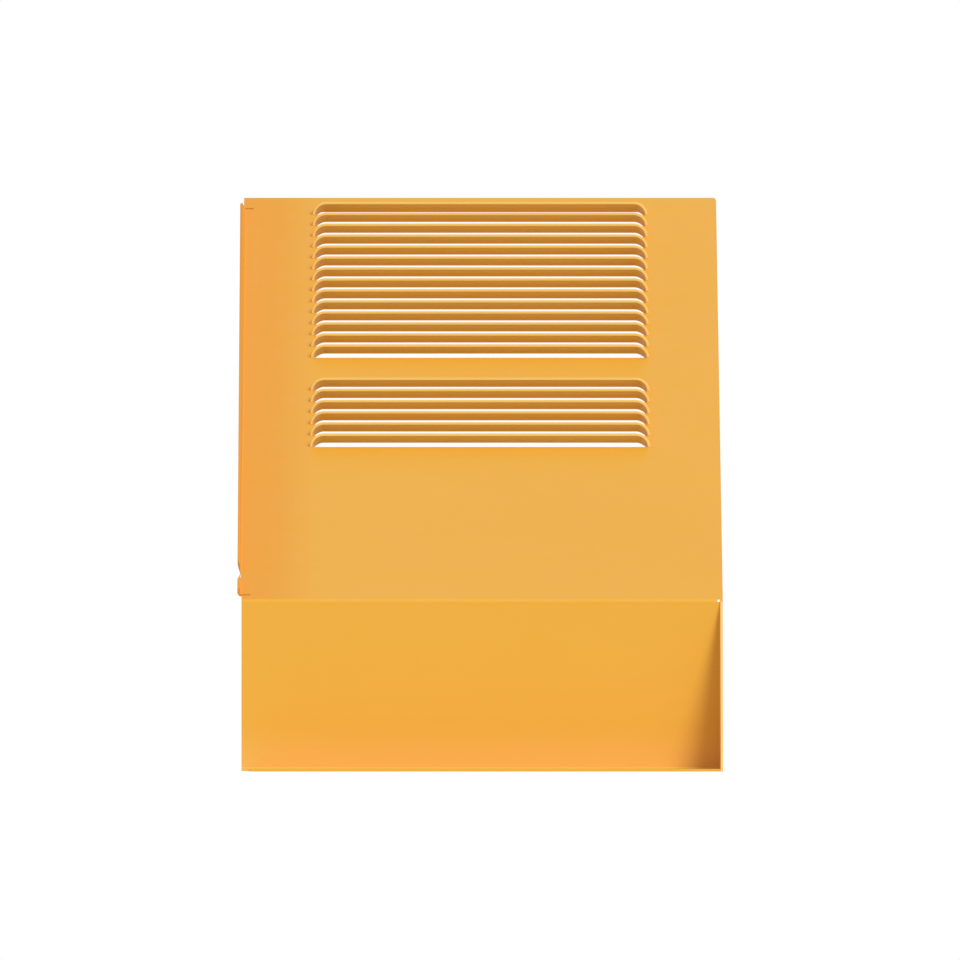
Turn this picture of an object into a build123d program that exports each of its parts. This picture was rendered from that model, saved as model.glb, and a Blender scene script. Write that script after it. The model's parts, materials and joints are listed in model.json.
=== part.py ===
from build123d import *
import os
from math import cos, radians, sin, tan

os.makedirs("parts", exist_ok=True)

# A rear-hinged louvred hood for a machine, in millimetres. X runs across the hood, +Y runs back
# towards the hinges and +Z is up. Sizes along the sloping panel are measured up it from the fold,
# and heights are measured square to it from its outer face, so the underside is negative.

# ---------------------------------------------------------------- skin
sheet = 2.5                   # thickness of the skin
bend = 1.7                    # inside radius of its bends
slope = 20.0                  # rise of the louvred panel, in degrees
panel_length = 1203.6         # from the fold to the rear edge
front_height = 171.8          # from the underside of the shelf to the fold
right_edge = 243.2            # outer face of the right wall and right edge of the panel
face_left = -238.9            # left edge of the front face
tab_left = -243.0             # left end of the flat strip along the rear edge
shelf_left = -230.0           # left end of the shelf
shelf_depth = 62.0            # how far the shelf stands forward of the front face
flange_depth = 16.0           # how far the rear flange turns down
flange_right = 240.6          # right end of the rear flange
corner_run = 11.0             # length of the clipped corner at the rear right
corner_relief = 1.3           # radius of the relief hole at the right end of the fold

# ---------------------------------------------------------------- left lip
lip_height = 6.5              # above the panel's outer face
lip_front_root = -238.9       # where the lip's bend starts, at the fold end
lip_rear_root = -240.2        # and at the rear end
lip_front_lean = 1.0          # outward lean from square, in degrees
lip_rear_lean = 25.0
front_slit = 12.0             # fold to the slit that frees the lip's front end
rear_slit = 38.5              # rear edge to the far side of the other slit
slit_width = 3.5
front_slit_reach = 8.5        # how far each slit runs in from the lip's root
rear_slit_reach = 7.0
notch_start = 42.0            # fold to the scalloped notch in the lip
notch_length = 55.5
notch_depth = 3.2
notch_root = 1.2              # lip's root to the bottom of the notch

# ---------------------------------------------------------------- louvres
louvre_pitch = 33.3
louvre_places = 22            # equally spaced places
louvre_skipped = (14, 15)     # counted from the rear, left flat over the stiffener
first_louvre = 56.6           # rear edge to the mouth of the rearmost louvre
louvre_span = 340.0           # inside length of a mouth
louvre_rise = 14.5            # outside height of a mouth
louvre_run = 22.0             # outside length of the hood behind the mouth
louvre_cut = 0.9              # share of the hood's long half-ellipse that its mouth cuts off
louvre_root = 1.2             # fillet where the hood meets the panel
rim_round = 0.5               # rounding of the mouth's outer edge

# ---------------------------------------------------------------- rails under the panel
rail_sheet = 1.5
rail_centre = 198.0           # distance of each rail from the middle
rail_crown = 24.0             # outside width of the hat's crown
rail_foot = 12.0              # width of each welded foot
rail_depth = 18.0
rail_bend = 2.0
rail_front_gap = 40.0         # fold to the front end of the rails
rail_rear_gap = 22.0          # rear edge to the rear end of the rails
stiffener_depth = 11.0
stiffener_crown = 20.0
stiffener_foot = 13.0
stiffener_lead = 2.2          # the stiffener stands this far behind the middle of the flat band
end_gap = 1.0                 # between the stiffener's ends and the rails

# ---------------------------------------------------------------- hinges
leaf = 3.0                    # thickness of the hinge leaves
leaf_width = 40.0
pin_radius = 3.0
pin_clearance = 0.05
barrel_behind = 14.0          # rear edge of the panel to the hinge axis
knuckle_gap = 0.5
middle_knuckle = 15.0
barrel_relief = 2.0           # the leaves step in this far outside the barrel
moving_leaf_length = 88.0
fixed_leaf_drop = 62.0
bolt_edge = 12.0              # leaf end to the nearest bolt
bolt_spacing = 30.0
bolt_radius = 4.0             # M8
bolt_hole = 4.25
washer_radius = 8.5
washer_thick = 1.6
nut_radius = 7.5              # across the corners of a weld nut, halved
nut_height = 6.5
head_height = 5.3
head_radius = 7.4
thread_clearance = 0.05
bolt_tail = 1.5               # thread past a nut
pin_head = 4.6
pin_head_thick = 2.0

# ---------------------------------------------------------------- prop rod
rod_radius = 4.0
rod_bend = 10.0
rod_length = 450.0            # pivot to foot
rod_pivot = 640.0             # fold to the pivot
rod_drop = 14.5               # rail crown to the rod's centre
rod_side = 192.0              # the rod's place across the hood
foot_reach = 27.0             # length of the turned foot
ear = 2.5                     # thickness of the pivot bracket
ear_inset = 12.0              # rod centre to the ear's near face
bracket_run = 34.0
ear_radius = 11.0
bush_wall = 1.5
bush_flange = 1.5
bush_clearance = 0.05
ring_width = 3.0
ring_radius = 7.0
ring_gap = 0.3
end_chamfer = 0.6
stub_tail = 1.5               # rod past the retaining ring
clip_place = 400.0            # pivot to the clip that stores the rod
clip_sheet = 1.2
clip_width = 14.0
clip_clearance = 0.4
clip_reach = 4.0              # clip legs past the rod's centre
clip_flare = 1.6
rivet_radius = 2.4
rivet_head = 3.6
rivet_head_thick = 1.4
rivet_tail = 3.4
rivet_tail_length = 3.5
grip_radius = 7.0
grip_length = 80.0
grip_place = 300.0            # pivot to the start of the grip
grip_clearance = 0.05

# ---------------------------------------------------------------- latch striker and rests
striker_span = 44.0           # between the striker's legs, centre to centre
striker_radius = 4.0
striker_bend = 12.0
striker_low = 12.0            # underside of the striker's loop above the shelf's underside
striker_shelf = 62.0          # height of the bracket's top
striker_reach = 26.0          # inner face of the skin to the striker
bracket_sheet = 3.0
bracket_width = 84.0
bracket_depth = 46.0
bracket_foot = 40.0
striker_nut_radius = 7.5
striker_nut_height = 6.5
striker_tail = 4.0            # thread past the upper nut
rest_side = 188.0             # rubber rests from the middle
rest_reach = 24.0
rest_radius = 12.5
rest_height = 15.0
rest_shelf = 34.0             # height of the rest brackets' top
rest_width = 36.0
rest_depth = 40.0
rest_foot = 32.0
rest_stud = 3.0               # M6
rest_stud_grip = 12.0
rest_nut_radius = 5.7
rest_nut_height = 5.0
seal_width = 10.0
seal_height = 11.0
seal_wall = 2.0
seal_side = 230.0             # seal centre from the middle
seal_front_gap = 26.0
seal_rear_gap = 24.0

# ---------------------------------------------------------------- worked-out places
rise = radians(slope)
panel = Plane(origin=(0, 0, front_height), x_dir=(1, 0, 0), z_dir=(0, -sin(rise), cos(rise)))
mid_bend = bend + sheet / 2
crown_level = -sheet - rail_depth
rod_level = crown_level - rod_drop
barrel_radius = pin_radius + leaf
axis_level = crown_level - barrel_radius
axis_place = panel_length + barrel_behind
louvre_inner_run = louvre_run - sheet
louvre_inner_rise = louvre_rise - sheet


def up_panel(distance, height):
    """The (Y, Z) of a point a distance up the panel and a height off its outer face."""
    across = distance * cos(rise) - height * sin(rise)
    up = front_height + distance * sin(rise) + height * cos(rise)
    return across, up


axis_y, axis_z = up_panel(axis_place, axis_level)
leaf_back = axis_y + barrel_radius                 # mounting face of the fixed leaves
lower_bolt = axis_z - fixed_leaf_drop + bolt_edge
bolt_middle = lower_bolt + bolt_spacing / 2


def save(shape, name):
    """Write a node, with the row's origin at the middle of the hinge bolts."""
    solids = [Pos(0, -leaf_back, -bolt_middle) * solid for solid in shape.solids()]
    export_step(Compound(children=solids) if len(solids) > 1 else solids[0], f"parts/{name}.step")


def block(x0, x1, y0, y1, z0, z1):
    """A box between two corners."""
    return Pos((x0 + x1) / 2, (y0 + y1) / 2, (z0 + z1) / 2) * Box(x1 - x0, y1 - y0, z1 - z0)


def strip(points, radius, thickness):
    """The face of a bent sheet whose middle line runs through the points."""
    return trace(FilletPolyline(*points, radius=radius), thickness)


def rod_x(radius, x0, x1, y=0.0, z=0.0):
    """A round bar along X."""
    return Pos((x0 + x1) / 2, y, z) * Rot(0, 90, 0) * Cylinder(radius, x1 - x0)


def rod_z(radius, z0, z1, x=0.0, y=0.0):
    """A round bar along Z."""
    return Pos(x, y, (z0 + z1) / 2) * Cylinder(radius, z1 - z0)


def hexagon(radius, z0, z1, x=0.0, y=0.0):
    """A hexagonal bar along Z."""
    return extrude(Pos(x, y, z0) * RegularPolygon(radius, 6), z1 - z0)


# ================================================================ skin
def side_blank():
    """Shelf, front face, sloping panel and rear flange as one bent strip."""
    fold = sheet / 2 * (1 - sin(rise)) / cos(rise)
    rear = panel_length - sheet / 2
    points = [
        (-shelf_depth, sheet / 2),
        (sheet / 2, sheet / 2),
        up_panel(fold, -sheet / 2),
        up_panel(rear, -sheet / 2),
        up_panel(rear, -flange_depth),
    ]
    profile = Plane.YZ.offset(tab_left) * strip(points, mid_bend, sheet)
    return extrude(profile, right_edge - tab_left)


def side_trims():
    """What the flat blank lacks along its left edge, its rear corner and its shelf."""
    far = 30.0
    rear_lip = panel_length - rear_slit
    left = tab_left - far
    lip_side = panel * block(left, lip_front_root, front_slit, rear_lip + slit_width, -far, far)
    slits = panel * block(left, lip_front_root + front_slit_reach, front_slit,
                          front_slit + slit_width, -far, far)
    slits += panel * block(left, lip_rear_root + rear_slit_reach, rear_lip,
                           rear_lip + slit_width, -far, far)
    face = block(left, face_left, -far, far, -far, front_height - sheet)
    face += panel * block(left, face_left, -far, front_slit, -far, far)
    shelf = block(left, shelf_left, -shelf_depth - far, -bend, -far, far)
    clipped = make_face(Polyline((right_edge, panel_length - corner_run),
                                 (right_edge + far, panel_length - corner_run),
                                 (right_edge + far, panel_length + far),
                                 (flange_right, panel_length + far),
                                 (flange_right, panel_length), close=True))
    corner = panel * extrude(Pos(0, 0, -far) * clipped, 2 * far)
    flange = panel * block(flange_right, right_edge + far, panel_length - bend - sheet,
                           panel_length + far, -far, -bend - sheet)
    return lip_side + slits + face + shelf + corner + flange


def lip_section(root, lean, place):
    """Section of the lip and its bend, square to the fold line."""
    turn = radians(90 - lean)
    corner = root - mid_bend * tan(turn / 2)
    face_x = corner - (lip_height + sheet / 2) * cos(turn) / sin(turn)
    points = [(root + sheet, -sheet / 2), (corner, -sheet / 2), (face_x, lip_height)]
    return Plane.XZ.offset(-place) * strip(points, mid_bend, sheet)


def lip():
    """The left lip, which leans further out towards the rear, with its notch."""
    front = lip_section(lip_front_root, lip_front_lean, front_slit + slit_width)
    rear = lip_section(lip_rear_root, lip_rear_lean, panel_length - rear_slit)
    wall = loft([front, rear], ruled=True)
    half = notch_length / 2
    radius = (half**2 + notch_depth**2) / (2 * notch_depth)
    inner = lip_front_root - notch_root
    scallop = Pos(inner - radius, notch_start + half, 0) * Cylinder(radius, 4 * lip_height)
    near = block(inner - 4 * notch_depth, inner, notch_start, notch_start + notch_length,
                 -2 * lip_height, 2 * lip_height)
    return panel * (wall - (scallop & near))


def right_wall():
    """The triangular wall that turns forward from the front face's right edge."""
    middle = right_edge - sheet / 2
    points = [(right_edge - wall_inset, sheet / 2), (middle, sheet / 2), (middle, -shelf_depth)]
    wall = extrude(Pos(0, 0, wall_low) * strip(points, mid_bend, sheet), wall_high - wall_low)
    wall += block(right_edge - sheet, right_edge, -shelf_depth, -bend, 0, wall_low)
    outline = make_face(Plane.YZ * Polyline((2 * sheet, 0), (2 * sheet, front_height),
                                            (0, front_height), (-shelf_depth, 0), close=True))
    return wall & extrude(Pos(right_edge - 2 * wall_inset, 0, 0) * outline, 3 * wall_inset)


def cut_ellipse(run, height):
    """Half a long ellipse from its cut face at the origin to its tip, so that it falls away at once."""
    long_half = run / (1 - louvre_cut)
    short_half = height / (1 - louvre_cut**2) ** 0.5
    ellipse = Pos(run - long_half, 0) * Ellipse(long_half, short_half)
    return ellipse & Pos(run / 2, 0) * Rectangle(run, 2 * height)


def louvre_hood(run, rise_out, half):
    """A hood with domed ends, its mouth at the origin facing back down the panel."""
    section = cut_ellipse(run, rise_out) & Pos(run / 2, rise_out / 2) * Rectangle(run, rise_out)
    body = extrude(Plane.YZ.offset(-half) * section, 2 * half)
    dome = revolve(Plane.YZ * section, Axis.Y, 360)
    dome = dome & block(-run - rise_out, run + rise_out, 0, run, 0, rise_out)
    return body + Pos(-half, 0, 0) * dome + Pos(half, 0, 0) * dome


def louvre_pad():
    """One louvre on its own patch of sheet, which fills a window of the same size in the panel."""
    half = louvre_span / 2 - louvre_inner_rise
    plate = block(-pad_half, pad_half, 0, pad_run, -sheet, 0)
    outer = louvre_hood(louvre_run, louvre_rise, half)
    inner = louvre_hood(louvre_inner_run, louvre_inner_rise, half)
    solid = plate + outer
    roots = solid.edges().filter_by(lambda e: abs(e.center().Z) < 0.01 and e.center().Y > 0.01
                                    and e.center().Y < pad_run - 0.5
                                    and abs(e.center().X) < pad_half - 0.5)
    solid = fillet(roots, louvre_root)
    rim = solid.edges().filter_by(lambda e: abs(e.center().Y) < 0.01 and e.center().Z > 2 * rim_round)
    solid = fillet(rim, rim_round)
    opening = extrude(Pos(0, 0, -sheet) * (Plane.XY * section_below(half)), sheet)
    return solid - inner - opening


def section_below(half):
    """The hole that the louvre's inside leaves in the sheet, seen square on."""
    shape = Pos(0, louvre_inner_run / 2) * Rectangle(2 * half, louvre_inner_run)
    end = Rot(0, 0, 90) * cut_ellipse(louvre_inner_run, louvre_inner_rise)
    return shape + Pos(-half, 0) * end + Pos(half, 0) * end


wall_inset = 20.0
wall_low = bend + sheet
wall_high = front_height - sheet
pad_half = louvre_span / 2 + sheet + louvre_root + 2.0
pad_run = louvre_run + louvre_root + 1.0


def hood_skin():
    """The painted sheet: bent blank, lip, right wall and two groups of louvres."""
    skin = side_blank() - side_trims()
    wall_zone = block(right_edge - wall_inset, right_edge + 1, -sheet, 2 * sheet, wall_low, wall_high)
    skin = skin - wall_zone + right_wall() + lip()
    relief_y = Pos(right_edge - sheet - bend, 0, front_height - corner_relief) * Rot(90, 0, 0)
    skin -= relief_y * Cylinder(corner_relief, 6 * sheet)
    pad = louvre_pad()
    for count in range(louvre_places):
        if count in louvre_skipped:
            continue
        place = panel_length - first_louvre - count * louvre_pitch
        window = block(-pad_half, pad_half, place, place + pad_run, -sheet - 1, 1)
        skin -= panel * window
        skin += panel * (Pos(0, place, 0) * pad)
    return skin


# ================================================================ rails
def hat(depth, crown, foot):
    """Hat section in the (X, height) plane, its feet against the skin's underside."""
    web = (crown - rail_sheet) / 2
    tip = crown / 2 + foot
    top = -sheet - rail_sheet / 2
    low = -sheet - depth + rail_sheet / 2
    points = [(-tip, top), (-web, top), (-web, low), (web, low), (web, top), (tip, top)]
    return strip(points, rail_bend, rail_sheet)


def side_rail(side):
    """A hat rail under the panel, drilled for its hinge bolts (and, on the right, the clip)."""
    start = rail_front_gap
    length = panel_length - rail_rear_gap - start
    section = Plane.XZ.offset(-start) * (Pos(side * rail_centre, 0) * hat(rail_depth, rail_crown,
                                                                          rail_foot))
    rail = extrude(section, -length)
    for place in bolt_places:
        rail -= rod_z(bolt_hole, crown_level - 1, crown_level + rail_sheet + 1,
                      side * rail_centre, place)
    if side > 0:
        rail -= rod_z(rivet_radius, crown_level - 1, crown_level + rail_sheet + 1, rod_side,
                      clip_middle)
    return panel * rail


def cross_stiffener():
    """A shallow hat across the flat band between the two groups of louvres."""
    reach = rail_centre - rail_crown / 2 - rail_foot - end_gap
    section = Plane.YZ.offset(-reach) * (Pos(stiffener_middle, 0)
                                         * hat(stiffener_depth, stiffener_crown, stiffener_foot))
    return panel * extrude(section, 2 * reach)


# ================================================================ hinges
def moving_leaf(side):
    """Leaf bolted under the rail's crown, with the middle knuckle rolled at its rear end."""
    middle = side * rail_centre
    half = leaf_width / 2
    step = axis_place - barrel_radius - barrel_relief
    tongue = middle_knuckle / 2
    low = crown_level - leaf
    shape = block(middle - half, middle + half, axis_place - moving_leaf_length, step, low,
                  crown_level)
    shape += block(middle - tongue, middle + tongue, step - 1, axis_place, low, crown_level)
    shape += rod_x(barrel_radius, middle - tongue, middle + tongue, axis_place, axis_level)
    shape -= rod_x(pin_radius + pin_clearance, middle - half, middle + half, axis_place, axis_level)
    for place in bolt_places:
        shape -= rod_z(bolt_hole, low - 1, crown_level + 1, middle, place)
    return panel * shape


def fixed_leaf(side):
    """Upright leaf that bolts to the machine, with the two outer knuckles."""
    middle = side * rail_centre
    half = leaf_width / 2
    inner = middle_knuckle / 2 + knuckle_gap
    shape = block(middle - half, middle + half, leaf_back - leaf, leaf_back,
                  axis_z - fixed_leaf_drop, axis_z - barrel_radius - barrel_relief)
    for end in (-1, 1):
        near, far = sorted((middle + end * inner, middle + end * half))
        shape += block(near, far, leaf_back - leaf, leaf_back,
                       axis_z - barrel_radius - barrel_relief - 1, axis_z)
        shape += rod_x(barrel_radius, near, far, axis_y, axis_z)
    shape -= rod_x(pin_radius, middle - half - 1, middle + half + 1, axis_y, axis_z)
    for level in (lower_bolt, lower_bolt + bolt_spacing):
        hole = Pos(middle, leaf_back, level) * Rot(90, 0, 0) * Cylinder(bolt_hole, 4 * leaf)
        shape -= hole
    return shape


def hinge_pin(side):
    """Headed pin, riveted over at its other end and tight in the fixed knuckles."""
    middle = side * rail_centre
    half = leaf_width / 2
    pin = rod_x(pin_radius, middle - half, middle + half, axis_y, axis_z)
    pin += rod_x(pin_head, middle - half - pin_head_thick, middle - half, axis_y, axis_z)
    pin += rod_x(pin_head, middle + half, middle + half + pin_head_thick, axis_y, axis_z)
    rims = pin.edges().group_by(Axis.X)
    return fillet(rims[0] + rims[-1], pin_head_thick / 2)


def at_hinge_bolts(make):
    """The same piece at each of the four bolts that hold the moving leaves."""
    pieces = Part()
    for side in (-1, 1):
        for place in bolt_places:
            pieces += panel * (Pos(side * rail_centre, place, 0) * make())
    return pieces


def hinge_bolt():
    """Hexagon bolt up through washer, leaf and crown into its weld nut."""
    seat = crown_level - leaf - washer_thick
    shank = rod_z(bolt_radius, seat, crown_level + rail_sheet + nut_height + bolt_tail)
    return shank + hexagon(head_radius, seat - head_height, seat)


def hinge_washer():
    seat = crown_level - leaf - washer_thick
    return rod_z(washer_radius, seat, seat + washer_thick) - rod_z(bolt_hole, seat - 1,
                                                                 crown_level)


def hinge_weld_nut():
    seat = crown_level + rail_sheet
    return hexagon(nut_radius, seat, seat + nut_height) - rod_z(
        bolt_radius + thread_clearance, seat - 1, seat + nut_height + 1)


# ================================================================ prop rod
def prop_bracket():
    """Angle welded under the right rail, its ear bored for the prop's bush."""
    near = rod_side + ear_inset
    base_side = rod_side - rod_radius
    shape = block(base_side, near + ear, rod_pivot - bracket_run / 2, rod_pivot + bracket_run / 2,
                  crown_level - ear, crown_level)
    shape += block(near, near + ear, rod_pivot - ear_radius, rod_pivot + ear_radius, rod_level,
                   crown_level)
    shape += rod_x(ear_radius, near, near + ear, rod_pivot, rod_level)
    shape -= rod_x(bush_outer, near - 1, near + ear + 1, rod_pivot, rod_level)
    return panel * shape


def prop_bush():
    """Flanged nylon bush in the ear."""
    near = rod_side + ear_inset
    shape = rod_x(bush_outer, near, near + ear, rod_pivot, rod_level)
    shape += rod_x(bush_outer + 2 * bush_wall, near - bush_flange, near, rod_pivot, rod_level)
    return panel * (shape - rod_x(rod_radius + bush_clearance, near - 2 * bush_flange,
                                  near + 2 * ear, rod_pivot, rod_level))


def prop_rod():
    """Round rod turned at both ends: the stub that pivots in the bush, and the foot."""
    path = Pos(0, 0, rod_level) * FilletPolyline((stub_end, rod_pivot), (rod_side, rod_pivot),
                                                 (rod_side, rod_pivot + rod_length),
                                                 (rod_side + foot_reach, rod_pivot + rod_length),
                                                 radius=rod_bend)
    start = Plane(origin=(stub_end, rod_pivot, rod_level), z_dir=(-1, 0, 0))
    rod = sweep(start * Circle(rod_radius), path=path)
    ends = rod.faces().filter_by(Axis.X).edges()
    return panel * chamfer(ends, end_chamfer)


def prop_retaining_ring():
    """Push-on ring that keeps the stub in the ear."""
    near = ring_start
    ring = rod_x(ring_radius, near, near + ring_width, rod_pivot, rod_level)
    return panel * (ring - rod_x(rod_radius, near - 1, near + ring_width + 1, rod_pivot, rod_level))


def prop_grip():
    """Rubber sleeve near the rod's free end."""
    start = rod_pivot + grip_place
    sleeve = Pos(rod_side, start + grip_length / 2, rod_level) * Rot(90, 0, 0) * Cylinder(
        grip_radius, grip_length)
    sleeve = fillet(sleeve.edges(), (grip_radius - rod_radius) / 3)
    core = Pos(rod_side, start + grip_length / 2, rod_level) * Rot(90, 0, 0) * Cylinder(
        rod_radius + grip_clearance, 2 * grip_length)
    return panel * (sleeve - core)


def prop_clip():
    """Spring clip, open downwards, that holds the rod when it is stored."""
    leg = rod_radius + clip_clearance + clip_sheet / 2
    top = crown_level - clip_sheet / 2
    low = rod_level - clip_reach
    tip = leg + clip_flare
    points = [(-tip, low - clip_flare), (-leg, low), (-leg, top), (leg, top), (leg, low),
              (tip, low - clip_flare)]
    section = Plane.XZ.offset(-clip_middle + clip_width / 2) * (
        Pos(rod_side, 0) * strip(points, clip_sheet, clip_sheet))
    clip = extrude(section, -clip_width)
    clip -= rod_z(rivet_radius, top - 2, top + 2, rod_side, clip_middle)
    return panel * clip


def clip_rivet():
    """Rivet through the clip and the rail's crown."""
    under = crown_level - clip_sheet
    over = crown_level + rail_sheet
    rivet = rod_z(rivet_radius, under, over)
    rivet += rod_z(rivet_head, under - rivet_head_thick, under)
    rivet += rod_z(rivet_tail, over, over + rivet_tail_length)
    return panel * (Pos(rod_side, clip_middle, 0) * rivet)


# ================================================================ striker and rests
def angle_bracket(width, foot_end, shelf_level, depth):
    """An angle welded to the inside of the front face, from its foot's end to its shelf."""
    inner = sheet + bracket_sheet / 2
    points = [(inner, foot_end), (inner, shelf_level), (sheet + depth, shelf_level)]
    section = Plane.YZ.offset(-width / 2) * strip(points, bracket_sheet, bracket_sheet)
    return extrude(section, width)


def striker_bracket():
    """Angle with a shelf for the striker and a web under each end."""
    level = striker_shelf - bracket_sheet / 2
    shape = angle_bracket(bracket_width, striker_shelf - bracket_foot, level, bracket_depth)
    web = make_face(Plane.YZ * Polyline((sheet, striker_shelf - bracket_foot),
                                        (sheet + bracket_sheet, striker_shelf - bracket_foot),
                                        (sheet + bracket_depth, level), (sheet, level), close=True))
    corner = Plane.YZ * (Pos(sheet, striker_shelf) * Rectangle(4 * bracket_sheet, 4 * bracket_sheet))
    for end in (-1, 1):
        near = end * bracket_width / 2 - (bracket_sheet if end > 0 else 0)
        shape += Pos(near, 0, 0) * (extrude(web, bracket_sheet) - extrude(corner, bracket_sheet))
    for end in (-1, 1):
        shape -= rod_z(striker_radius + thread_clearance, level - 5, level + 5,
                       end * striker_span / 2, striker_y)
    return shape


def striker_loop():
    """Round bar bent to a U, threaded at its upper ends; the machine's latch closes round it."""
    low = striker_low + striker_radius
    half = striker_span / 2
    path = Plane.XZ.offset(-striker_y) * FilletPolyline((-half, striker_top), (-half, low),
                                                       (half, low), (half, striker_top),
                                                       radius=striker_bend)
    start = Plane(origin=(-half, striker_y, striker_top), z_dir=(0, 0, -1))
    return sweep(start * Circle(striker_radius), path=path)


def striker_nuts():
    """Nuts above and below the shelf on both legs."""
    nuts = Part()
    bore = striker_radius + thread_clearance
    for end in (-1, 1):
        place = end * striker_span / 2
        for low in (striker_shelf + washer_thick, striker_shelf - bracket_sheet - striker_nut_height):
            nut = hexagon(striker_nut_radius, low, low + striker_nut_height, place, striker_y)
            nuts += nut - rod_z(bore, low - 1, low + striker_nut_height + 1, place, striker_y)
    return nuts


def striker_washers():
    """Washers under the upper nuts."""
    washers = Part()
    for end in (-1, 1):
        place = end * striker_span / 2
        disc = rod_z(washer_radius, striker_shelf, striker_shelf + washer_thick, place, striker_y)
        washers += disc - rod_z(bolt_hole, striker_shelf - 1, striker_shelf + 2 * washer_thick, place,
                                striker_y)
    return washers


def rest_bracket(side):
    """Small angle that carries a rubber rest."""
    level = rest_shelf - bracket_sheet / 2
    shape = angle_bracket(rest_width, rest_shelf + rest_foot, level, rest_depth)
    shape -= rod_z(rest_stud + thread_clearance, level - 5, level + 5, 0, rest_y)
    return Pos(side * rest_side, 0, 0) * shape


def rubber_rest(side):
    """Rubber rest bonded to its stud."""
    top = rest_shelf - bracket_sheet
    rest = rod_z(rest_radius, top - rest_height, top)
    rest = fillet(rest.edges().group_by(Axis.Z)[0], 1.0)
    rest -= rod_z(rest_stud, top - rest_stud_grip, top + 1)
    return Pos(side * rest_side, rest_y, 0) * rest


def rest_studs():
    top = rest_shelf - bracket_sheet
    studs = Part()
    for side in (-1, 1):
        studs += rod_z(rest_stud, top - rest_stud_grip, rest_shelf + rest_nut_height + bolt_tail,
                       side * rest_side, rest_y)
    return studs


def rest_nuts():
    nuts = Part()
    for side in (-1, 1):
        nut = hexagon(rest_nut_radius, rest_shelf, rest_shelf + rest_nut_height)
        nut -= rod_z(rest_stud + thread_clearance, rest_shelf - 1, rest_shelf + 2 * rest_nut_height)
        nuts += Pos(side * rest_side, rest_y, 0) * nut
    return nuts


def side_seal(side):
    """Hollow rubber seal under the panel's edge, D-shaped in section."""
    radius = seal_width / 2
    straight = seal_height - radius
    outer = Pos(0, -straight / 2) * Rectangle(seal_width, straight) + Pos(0, -straight) * Circle(radius)
    hole = Pos(0, -straight / 2 - seal_wall / 2) * Rectangle(seal_width - 2 * seal_wall,
                                                             straight - seal_wall)
    hole += Pos(0, -straight) * Circle(radius - seal_wall)
    section = Pos(side * seal_side, -sheet) * (outer - hole)
    start = seal_front_gap
    length = panel_length - seal_rear_gap - start
    return panel * extrude(Plane.XZ.offset(-start) * section, -length)


bolt_places = [axis_place - moving_leaf_length + bolt_edge + count * bolt_spacing
               for count in range(2)]
clip_middle = rod_pivot + clip_place
stiffener_middle = (panel_length - first_louvre - (louvre_skipped[0] + 0.5) * louvre_pitch
                    + louvre_pitch / 2 + stiffener_lead)
bush_outer = rod_radius + bush_clearance + bush_wall
ring_start = rod_side + ear_inset + ear + ring_gap
stub_end = ring_start + ring_width + stub_tail
striker_y = sheet + striker_reach
striker_top = striker_shelf + washer_thick + striker_nut_height + striker_tail
rest_y = sheet + rest_reach

save(hood_skin(), "hood_skin")
save(cross_stiffener(), "cross_stiffener")
for side, name in ((-1, "left"), (1, "right")):
    save(side_rail(side), f"side_rail_{name}")
    save(moving_leaf(side), f"hinge_moving_leaf_{name}")
    save(fixed_leaf(side), f"hinge_fixed_leaf_{name}")
    save(hinge_pin(side), f"hinge_pin_{name}")
    save(rest_bracket(side), f"rest_bracket_{name}")
    save(rubber_rest(side), f"rubber_rest_{name}")
    save(side_seal(side), f"side_seal_{name}")
save(at_hinge_bolts(hinge_bolt), "hinge_bolts")
save(at_hinge_bolts(hinge_washer), "hinge_washers")
save(at_hinge_bolts(hinge_weld_nut), "hinge_weld_nuts")
save(prop_bracket(), "prop_bracket")
save(prop_bush(), "prop_bush")
save(prop_rod(), "prop_rod")
save(prop_retaining_ring(), "prop_retaining_ring")
save(prop_grip(), "prop_grip")
save(prop_clip(), "prop_clip")
save(clip_rivet(), "clip_rivet")
save(striker_bracket(), "striker_bracket")
save(striker_loop(), "striker_loop")
save(striker_nuts(), "striker_nuts")
save(striker_washers(), "striker_washers")
save(rest_studs(), "rest_studs")
save(rest_nuts(), "rest_nuts")
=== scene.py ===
import bmesh
import bpy
import json
from math import cos, pi, radians, sin
from mathutils import Matrix, Vector


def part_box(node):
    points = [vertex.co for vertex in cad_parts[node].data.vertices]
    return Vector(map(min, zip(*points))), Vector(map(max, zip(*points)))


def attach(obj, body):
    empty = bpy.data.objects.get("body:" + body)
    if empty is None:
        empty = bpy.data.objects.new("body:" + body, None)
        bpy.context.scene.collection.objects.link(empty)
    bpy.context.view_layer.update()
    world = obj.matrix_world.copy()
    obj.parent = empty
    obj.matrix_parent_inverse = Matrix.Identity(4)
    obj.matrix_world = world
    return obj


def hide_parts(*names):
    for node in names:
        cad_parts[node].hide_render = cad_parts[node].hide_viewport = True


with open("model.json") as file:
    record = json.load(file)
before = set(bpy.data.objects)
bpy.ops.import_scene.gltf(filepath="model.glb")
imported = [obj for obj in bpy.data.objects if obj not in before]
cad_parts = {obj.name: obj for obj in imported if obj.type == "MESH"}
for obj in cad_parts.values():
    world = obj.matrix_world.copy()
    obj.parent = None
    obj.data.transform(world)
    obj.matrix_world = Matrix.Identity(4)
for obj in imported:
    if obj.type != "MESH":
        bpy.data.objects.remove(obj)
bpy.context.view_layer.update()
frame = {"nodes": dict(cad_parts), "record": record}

# Looks of a louvred machine hood. Metres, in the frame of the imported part: X runs across the hood,
# +Y runs back to the hinges and +Z is up.

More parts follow.
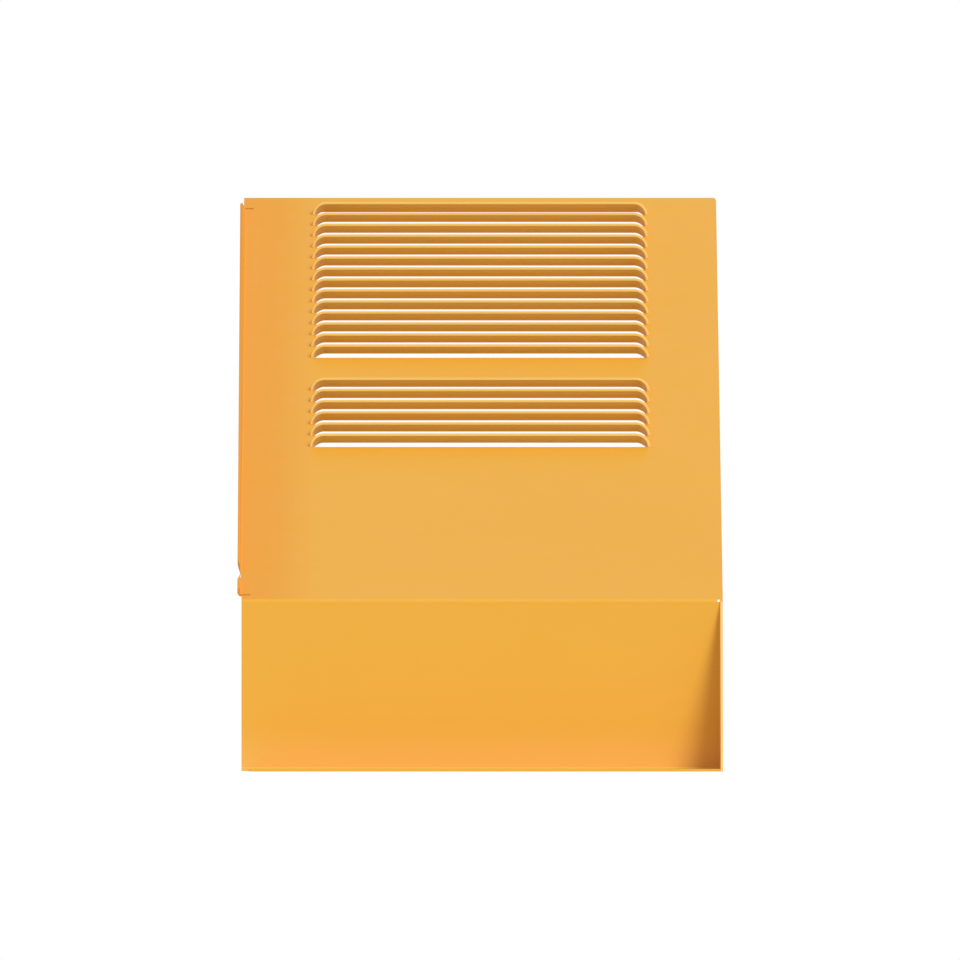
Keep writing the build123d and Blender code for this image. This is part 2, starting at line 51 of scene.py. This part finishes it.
# ------------------------------------------------------------------ places on the hood
sheet = 0.0025                       # thickness of the skin
slope = radians(20)                  # rise of the louvred panel
shelf_depth = 0.062                  # the shelf stands this far forward of the front face
front_height = 0.1718                # underside of the shelf to the fold
skin_low, skin_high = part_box("hood_skin")
front_face = skin_low.y + shelf_depth
fold = Vector((0, front_face, skin_low.z + front_height))
up_slope = Vector((0, cos(slope), sin(slope)))
off_slope = Vector((0, -sin(slope), cos(slope)))
shelf_bounce_reach = 0.05                  # painted bounce light off the shelf reaches this far from its inner corner
lip_bounce_from, lip_bounce_to = 0.03, 0.09      # painted warm bounce light off the left lip fades out between these from the left side
fold_blend = 0.002                   # the painted warm bounce light ends this near the fold
louvre_zone = 0.18                   # the louvres stay this close to the middle
louvre_pitch = 0.0333
louvre_clear = 0.0005                # the mouths' edges lie at least this far above the fold
rear_mouth = 1.147                   # fold to the mouth of the rearmost louvre
rail_foot = 0.012                    # width of the rails' welded feet
weld_pitch = 0.075
weld_radius = 0.0034
rod_radius = 0.004

# ------------------------------------------------------------------ how squarely a face looks
end_on = 0.4                         # below this cosine a face is turned away from a direction
mostly_towards = 0.6                 # above these two a face looks along a direction
nearly_straight = 0.7

# ------------------------------------------------------------------ light, floor and camera
room_light = 0.53
key_strength, key_width = 2.1, radians(27)
key_side, key_lift = radians(38), radians(39)
floor_drop = 0.27                    # the floor lies this far below the shelf
floor_middle = -0.55
floor_reach = 3.0                    # from its middle to each edge
lens_length, sensor_width = 1462.5, 36.0
camera_distance = 39.06              # in front of the front face
camera_height = 0.2915               # above the underside of the shelf
sight_from, sight_to = 1.0, 200.0


# ------------------------------------------------------------------ material helper
class Finish:
    """One procedural material, built on a Principled shader from patterns on Object coordinates."""

    def __init__(self, name, metallic=0.0, specular=0.5, coat=0.0, coat_roughness=0.1):
        self.material = bpy.data.materials.new(name)
        self.material.use_nodes = True
        self.tree = self.material.node_tree
        self.shader = self.tree.nodes["Principled BSDF"]
        self.shader.inputs["Metallic"].default_value = metallic
        self.shader.inputs["Specular IOR Level"].default_value = specular
        self.shader.inputs["Coat Weight"].default_value = coat
        self.shader.inputs["Coat Roughness"].default_value = coat_roughness
        coordinates = self.tree.nodes.new("ShaderNodeTexCoord")
        self.place, self.normal = coordinates.outputs["Object"], coordinates.outputs["Normal"]
        self.height = None

    def join(self, source, socket):
        """Links a pattern to a socket, or sets the socket to a plain value."""
        if hasattr(source, "is_output"):
            self.tree.links.new(source, socket)
        else:
            socket.default_value = source

    def math(self, operation, a, b=0.0):
        node = self.tree.nodes.new("ShaderNodeMath")
        node.operation = operation
        self.join(a, node.inputs[0])
        self.join(b, node.inputs[1])
        return node.outputs[0]

    def all_of(self, *masks):
        """The masks multiplied together."""
        product = masks[0]
        for mask in masks[1:]:
            product = self.math("MULTIPLY", product, mask)
        return product

    def stretched(self, stretch):
        """The place with its pattern drawn out where stretch is below 1."""
        mapping = self.tree.nodes.new("ShaderNodeMapping")
        mapping.vector_type = "TEXTURE"
        mapping.inputs["Scale"].default_value = [1 / s for s in stretch]
        self.join(self.place, mapping.inputs["Vector"])
        return mapping.outputs["Vector"]

    def noise(self, size, detail=2.0, rough=0.5, place=None):
        """Cloudy pattern from 0 to 1 whose patches are about size metres wide."""
        node = self.tree.nodes.new("ShaderNodeTexNoise")
        node.inputs["Scale"].default_value = 1 / size
        node.inputs["Detail"].default_value = detail
        node.inputs["Roughness"].default_value = rough
        self.join(place or self.place, node.inputs["Vector"])
        return node.outputs["Fac"]

    def cells(self, size):
        """Cells about size metres wide, each with a random tone of its own."""
        node = self.tree.nodes.new("ShaderNodeTexVoronoi")
        node.inputs["Scale"].default_value = 1 / size
        self.join(self.place, node.inputs["Vector"])
        return node.outputs["Color"]

    def band(self, value, low, high, start=0.0, end=1.0):
        """start below low, end above high, and smooth between them."""
        node = self.tree.nodes.new("ShaderNodeMapRange")
        node.interpolation_type = "SMOOTHSTEP"
        self.join(value, node.inputs["Value"])
        limits = {"From Min": low, "From Max": high, "To Min": start, "To Max": end}
        for socket, number in limits.items():
            node.inputs[socket].default_value = number
        return node.outputs["Result"]

    def mix(self, share, a, b):
        """Colour a, with the given share of colour b."""
        node = self.tree.nodes.new("ShaderNodeMix")
        node.data_type = "RGBA"
        self.join(share, node.inputs["Factor"])
        for name, colour in (("A", a), ("B", b)):
            socket = next(s for s in node.inputs if s.name == name and s.type == "RGBA")
            self.join(colour if hasattr(colour, "is_output") else (*colour, 1.0), socket)
        return next(s for s in node.outputs if s.type == "RGBA")

    def axes(self):
        node = self.tree.nodes.new("ShaderNodeSeparateXYZ")
        self.join(self.place, node.inputs[0])
        return node.outputs

    def dot(self, source, direction):
        node = self.tree.nodes.new("ShaderNodeVectorMath")
        node.operation = "DOT_PRODUCT"
        self.join(source, node.inputs[0])
        node.inputs[1].default_value = direction
        return node.outputs["Value"]

    def along(self, direction, origin):
        """Distance of the place from origin, along a direction."""
        shift = self.tree.nodes.new("ShaderNodeVectorMath")
        shift.operation = "SUBTRACT"
        self.join(self.place, shift.inputs[0])
        shift.inputs[1].default_value = origin
        return self.dot(shift.outputs["Vector"], direction)

    def above_fold(self):
        return self.band(self.axes()[2], fold.z - fold_blend, fold.z + fold_blend)

    def facing(self, direction):
        """Cosine between the piece's own normal, which moves with it, and a direction."""
        return self.dot(self.normal, direction)

    def colour(self, source):
        self.join(source, self.shader.inputs["Base Color"])

    def roughness(self, source):
        self.join(source, self.shader.inputs["Roughness"])

    def bump(self, pattern, depth):
        """Adds relief of depth metres to the surface. Later calls lie on top of earlier ones."""
        node = self.tree.nodes.new("ShaderNodeBump")
        node.inputs["Strength"].default_value = 1.0
        node.inputs["Distance"].default_value = depth
        self.join(pattern, node.inputs["Height"])
        if self.height is not None:
            self.join(self.height, node.inputs["Normal"])
        self.height = node.outputs["Normal"]
        self.join(self.height, self.shader.inputs["Normal"])

    def on(self, name):
        """Puts the finish on a node of the frame."""
        mesh = frame["nodes"][name].data
        mesh.materials.clear()
        mesh.materials.append(self.material)


# ------------------------------------------------------------------ finishes
def powder_coat():
    """Satin yellow-orange powder coat, with painted highlights on the sheet's cut edges and painted
    bounce light near the shelf and the left lip.
    """
    paint = Finish("hood_powder_coat", specular=0.14)
    # the pale colour serves the grain's speckle and also painted bounce light and painted highlights
    rich, full, pale_grain_and_painted_light = (0.82, 0.405, 0.045), (0.85, 0.425, 0.053), (0.95, 0.565, 0.18)
    # a painted highlight colour for the louvres' rims, and a painted warm bounce light colour for
    # beside the left lip
    rim_highlight, painted_lip_bounce = (1.0, 0.77, 0.25), (0.83, 0.35, 0.030)
    shelf_bounce_share, grain_share = 0.35, 0.10
    clouds = paint.noise(0.22, detail=3.0)
    grain = paint.noise(0.0011, detail=1.0)
    body = paint.mix(clouds, rich, full)
    left = skin_low.x
    # painted warm bounce light on the panel beside the left lip
    lip_bounce_share = paint.band(paint.axes()[0], left + lip_bounce_from, left + lip_bounce_to, 1.0, 0.0)
    body = paint.mix(paint.all_of(lip_bounce_share, paint.above_fold()), body, painted_lip_bounce)
    body = paint.mix(paint.band(grain, 0.55, 0.75, 0.0, grain_share), body, pale_grain_and_painted_light)
    # painted bounce light: a paler tone low on the front face beside the shelf
    body = paint.mix(paint.all_of(shelf_bounce_light(paint), shelf_bounce_share), body, pale_grain_and_painted_light)
    # painted highlight along the right wall's cut edge
    body = paint.mix(wall_edge_highlight(paint), body, pale_grain_and_painted_light)
    # painted highlight on the cut rims of the louvres' mouths
    paint.colour(paint.mix(mouth_rim_highlight(paint), body, rim_highlight))
    paint.roughness(paint.band(paint.noise(0.05, detail=4.0), 0.3, 0.7, 0.34, 0.42))
    paint.bump(paint.noise(0.0042, detail=1.5), 0.00004)
    paint.bump(grain, 0.000006)
    return paint


def shelf_bounce_light(paint):
    """1 in the inner corner above the shelf, where bounce light off the shelf is painted on, and 0
    away from it.
    """
    x, y, z = paint.axes()
    low = paint.band(z, skin_low.z, skin_low.z + shelf_bounce_reach, 1.0, 0.0)
    back = paint.band(y, front_face - shelf_bounce_reach, front_face)
    return paint.all_of(low, back)


def wall_edge_highlight(paint):
    """1 on the cut edge of the right wall, where a highlight is painted on."""
    x, y, z = paint.axes()
    wall = paint.math("GREATER_THAN", x, skin_high.x - 1.02 * sheet)
    below_fold = paint.math("LESS_THAN", z, fold.z)
    forward = paint.math("LESS_THAN", y, front_face)
    sideways = paint.math("ABSOLUTE", paint.facing((1, 0, 0)))
    not_side = paint.math("LESS_THAN", sideways, end_on)
    return paint.all_of(wall, below_fold, forward, not_side)


def mouth_rim_highlight(paint):
    """1 on the cut edges of the louvres' mouths, which repeat up the panel, where highlights are
    painted on.
    """
    from_middle = paint.math("ABSOLUTE", paint.axes()[0])
    inside = paint.math("LESS_THAN", from_middle, louvre_zone)
    raised = paint.math("GREATER_THAN", paint.along(off_slope, fold), louvre_clear)
    from_mouth = paint.along(up_slope, fold + up_slope * (rear_mouth - sheet / 4))
    past_mouth = paint.math("FLOORED_MODULO", from_mouth, louvre_pitch)
    at_mouth = paint.math("LESS_THAN", past_mouth, sheet / 2)
    facing_down = paint.math("GREATER_THAN", paint.facing(-up_slope), mostly_towards)
    return paint.all_of(inside, raised, at_mouth, facing_down)


def inner_coat():
    """The same powder coat on the welded inner pieces: thinner, duller and a little uneven."""
    paint = Finish("inner_powder_coat", specular=0.4)
    clouds = paint.noise(0.05, detail=4.0)
    body = paint.mix(clouds, (0.74, 0.36, 0.042), (0.82, 0.41, 0.050))
    specks = paint.band(paint.cells(0.009), 0.93, 0.98)
    paint.colour(paint.mix(specks, body, (0.62, 0.27, 0.04)))
    paint.roughness(paint.band(clouds, 0.3, 0.7, 0.42, 0.56))
    paint.bump(paint.noise(0.0035, detail=2.0), 0.00006)
    paint.bump(beside_spot_welds(paint), 0.0005)
    return paint


def beside_spot_welds(paint):
    """0 in the shallow dents of the spot welds down both feet of each rail, 1 elsewhere."""
    low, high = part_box("side_rail_right")
    rail_middle = (low.x + high.x) / 2
    foot_from_middle = (high.x - low.x) / 2 - rail_foot / 2
    from_middle = paint.math("ABSOLUTE", paint.axes()[0])
    from_rail = paint.math("ABSOLUTE", paint.math("SUBTRACT", from_middle, rail_middle))
    across = paint.math("SUBTRACT", from_rail, foot_from_middle)
    past_weld = paint.math("FLOORED_MODULO", paint.along(up_slope, fold), weld_pitch)
    up = paint.math("SUBTRACT", past_weld, weld_pitch / 2)
    squares = paint.math("ADD", paint.all_of(across, across), paint.all_of(up, up))
    radius = paint.math("SQRT", squares)
    on_foot = paint.math("GREATER_THAN", paint.facing(-off_slope), nearly_straight)
    dent = paint.all_of(paint.band(radius, weld_radius * 0.7, weld_radius, 1.0, 0.0), on_foot)
    return paint.math("SUBTRACT", 1.0, dent)


def rolled_plate():
    """Zinc-plated hinge plate with rolling marks down its length."""
    steel = Finish("rolled_zinc_plate", metallic=1.0)
    marks = steel.noise(0.0009, detail=3.0, place=steel.stretched((1, 1, 0.03)))
    bloom = steel.noise(0.018, detail=4.0, rough=0.6)
    body = steel.mix(bloom, (0.50, 0.50, 0.49), (0.66, 0.66, 0.63))
    steel.colour(steel.mix(steel.band(marks, 0.45, 0.7, 0.0, 0.35), body, (0.42, 0.42, 0.41)))
    steel.roughness(steel.band(bloom, 0.3, 0.7, 0.30, 0.46))
    steel.bump(marks, 0.00001)
    return steel


def bright_zinc():
    """Bright zinc with the faint yellow of its passivation."""
    zinc = Finish("bright_zinc", metallic=1.0)
    bloom = zinc.noise(0.006, detail=4.0, rough=0.6)
    body = zinc.mix(zinc.band(bloom, 0.35, 0.7), (0.66, 0.66, 0.65), (0.68, 0.63, 0.50))
    spots = zinc.band(zinc.noise(0.0012, detail=2.0), 0.55, 0.8, 0.0, 0.3)
    zinc.colour(zinc.mix(spots, body, (0.48, 0.47, 0.44)))
    zinc.roughness(zinc.band(bloom, 0.3, 0.7, 0.20, 0.34))
    zinc.bump(zinc.noise(0.0007, detail=2.0), 0.000006)
    return zinc


def oiled_spring():
    """Dark spring steel under a film of oil."""
    steel = Finish("oiled_spring_steel", metallic=1.0, coat=0.5, coat_roughness=0.08)
    film = steel.noise(0.008, detail=3.0)
    steel.colour(steel.mix(film, (0.10, 0.105, 0.12), (0.22, 0.20, 0.18)))
    steel.roughness(steel.band(film, 0.3, 0.7, 0.28, 0.42))
    steel.bump(steel.noise(0.0008, detail=2.0), 0.000008)
    return steel


def black_rubber():
    """Moulded black rubber with a fine matt skin and a little bloom."""
    rubber = Finish("moulded_rubber", specular=0.35)
    bloom = rubber.noise(0.012, detail=4.0)
    bloom_share = rubber.band(bloom, 0.35, 0.75)
    rubber.colour(rubber.mix(bloom_share, (0.022, 0.022, 0.024), (0.05, 0.05, 0.052)))
    rubber.roughness(rubber.band(bloom, 0.3, 0.7, 0.66, 0.82))
    rubber.bump(rubber.noise(0.0006, detail=3.0), 0.00002)
    return rubber


def natural_nylon():
    """Undyed nylon, slightly cloudy."""
    nylon = Finish("natural_nylon", specular=0.4)
    clouds = nylon.noise(0.004, detail=2.0)
    nylon.colour(nylon.mix(clouds, (0.72, 0.69, 0.60), (0.80, 0.78, 0.70)))
    nylon.roughness(nylon.band(clouds, 0.3, 0.7, 0.42, 0.52))
    nylon.bump(nylon.noise(0.0006), 0.00001)
    return nylon


finishes = {
    "hood_paint": powder_coat(),
    "frame_paint": inner_coat(),
    "plated_steel": rolled_plate(),
    "zinc_steel": bright_zinc(),
    "spring_steel": oiled_spring(),
    "rubber": black_rubber(),
    "nylon": natural_nylon(),
}
for part in frame["record"]["subparts"]:
    finishes[part["material_slot"]].on(part["node"])


# ------------------------------------------------------------------ ribbed grip
def grip_profile(half, crest):
    """Half the grip's section as (radius, height), its ribs worked out by a loop."""
    bore, round_off, margin, ribs = 1.02 * rod_radius, 0.0012, 0.005, 14
    pitch, groove = (2 * half - 2 * margin) / ribs, 0.0008
    points = [(bore, -half), (crest - round_off, -half), (crest, -half + round_off)]
    for rib in range(ribs):
        start = -half + margin + rib * pitch
        points += [(crest, start), (crest - groove, start + 0.15 * pitch),
                   (crest - groove, start + 0.4 * pitch), (crest, start + 0.55 * pitch)]
    return points + [(crest, half - round_off), (crest - round_off, half), (bore, half)]


def ribbed_grip():
    """The rubber sleeve on the prop rod, moulded with ribs, in the place of the plain one."""
    steps, crease = 56, radians(40)
    low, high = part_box("prop_grip")
    middle, crest = (low + high) / 2, (high.x - low.x) / 2
    half = ((high.z - low.z) / 2 - crest * cos(slope)) / sin(slope)
    grip = bmesh.new()
    ring = [grip.verts.new((radius, 0, height)) for radius, height in grip_profile(half, crest)]
    edges = [grip.edges.new((a, b)) for a, b in zip(ring, ring[1:] + ring[:1])]
    bmesh.ops.spin(grip, geom=ring + edges, cent=(0, 0, 0), axis=(0, 0, 1), angle=2 * pi,
                   steps=steps, use_merge=True)
    bmesh.ops.recalc_face_normals(grip, faces=grip.faces)
    turn = Matrix.Rotation(slope - pi / 2, 4, "X")
    bmesh.ops.transform(grip, matrix=Matrix.Translation(middle) @ turn, verts=grip.verts)
    for face in grip.faces:
        face.smooth = True
    for edge in grip.edges:
        edge.smooth = edge.calc_face_angle(0) < crease
    mesh = bpy.data.meshes.new("prop_grip_ribbed")
    grip.to_mesh(mesh)
    grip.free()
    piece = bpy.data.objects.new("prop_grip_ribbed", mesh)
    bpy.context.scene.collection.objects.link(piece)
    mesh.materials.append(finishes["rubber"].material)
    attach(piece, "prop")
    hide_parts("prop_grip")


ribbed_grip()


# ------------------------------------------------------------------ the room
def white_room():
    """A bright white surround, dimmer as a light than as a backdrop."""
    world = bpy.data.worlds.new("white_room")
    world.use_nodes = True
    tree = world.node_tree
    dome = tree.nodes["Background"]
    dome.inputs["Strength"].default_value = room_light
    backdrop = tree.nodes.new("ShaderNodeBackground")
    for node in (dome, backdrop):
        node.inputs["Color"].default_value = (1, 1, 1, 1)
    choose = tree.nodes.new("ShaderNodeMixShader")
    ray = tree.nodes.new("ShaderNodeLightPath")
    tree.links.new(ray.outputs["Is Camera Ray"], choose.inputs[0])
    tree.links.new(dome.outputs[0], choose.inputs[1])
    tree.links.new(backdrop.outputs[0], choose.inputs[2])
    tree.links.new(choose.outputs[0], tree.nodes["World Output"].inputs["Surface"])
    bpy.context.scene.world = world


def key_light():
    """A wide soft key from the front, up and to the right."""
    light = bpy.data.lights.new("key", "SUN")
    light.energy, light.angle = key_strength, key_width
    lamp = bpy.data.objects.new("key", light)
    level = cos(key_lift)
    to_light = Vector((level * sin(key_side), -level * cos(key_side), sin(key_lift)))
    lamp.rotation_euler = to_light.to_track_quat("Z", "Y").to_euler()
    bpy.context.scene.collection.objects.link(lamp)


def floor():
    """A pale matt floor under the hood, with a faint trowelled texture."""
    mesh = bpy.data.meshes.new("floor")
    plate = bmesh.new()
    bmesh.ops.create_grid(plate, x_segments=1, y_segments=1, size=floor_reach)
    place = (0, floor_middle, skin_low.z - floor_drop)
    bmesh.ops.translate(plate, verts=plate.verts, vec=place)
    plate.to_mesh(mesh)
    plate.free()
    base = bpy.data.objects.new("floor", mesh)
    bpy.context.scene.collection.objects.link(base)
    pale = Finish("pale_floor", specular=0.2)
    pale.colour(pale.mix(pale.noise(0.3, detail=4.0), (0.80, 0.80, 0.80), (0.84, 0.84, 0.84)))
    pale.roughness(0.8)
    pale.bump(pale.noise(0.02, detail=3.0), 0.0002)
    mesh.materials.append(pale.material)


def camera():
    """Straight in front, far off with a very long lens."""
    lens = bpy.data.cameras.new("front")
    lens.sensor_width, lens.lens = sensor_width, lens_length
    lens.clip_start, lens.clip_end = sight_from, sight_to
    body = bpy.data.objects.new("front", lens)
    body.location = (0, front_face - camera_distance, skin_low.z + camera_height)
    body.rotation_euler = (pi / 2, 0, 0)
    bpy.context.scene.collection.objects.link(body)
    bpy.context.scene.camera = body


white_room()
key_light()
floor()
camera()
bpy.context.scene.view_settings.view_transform = "Standard"
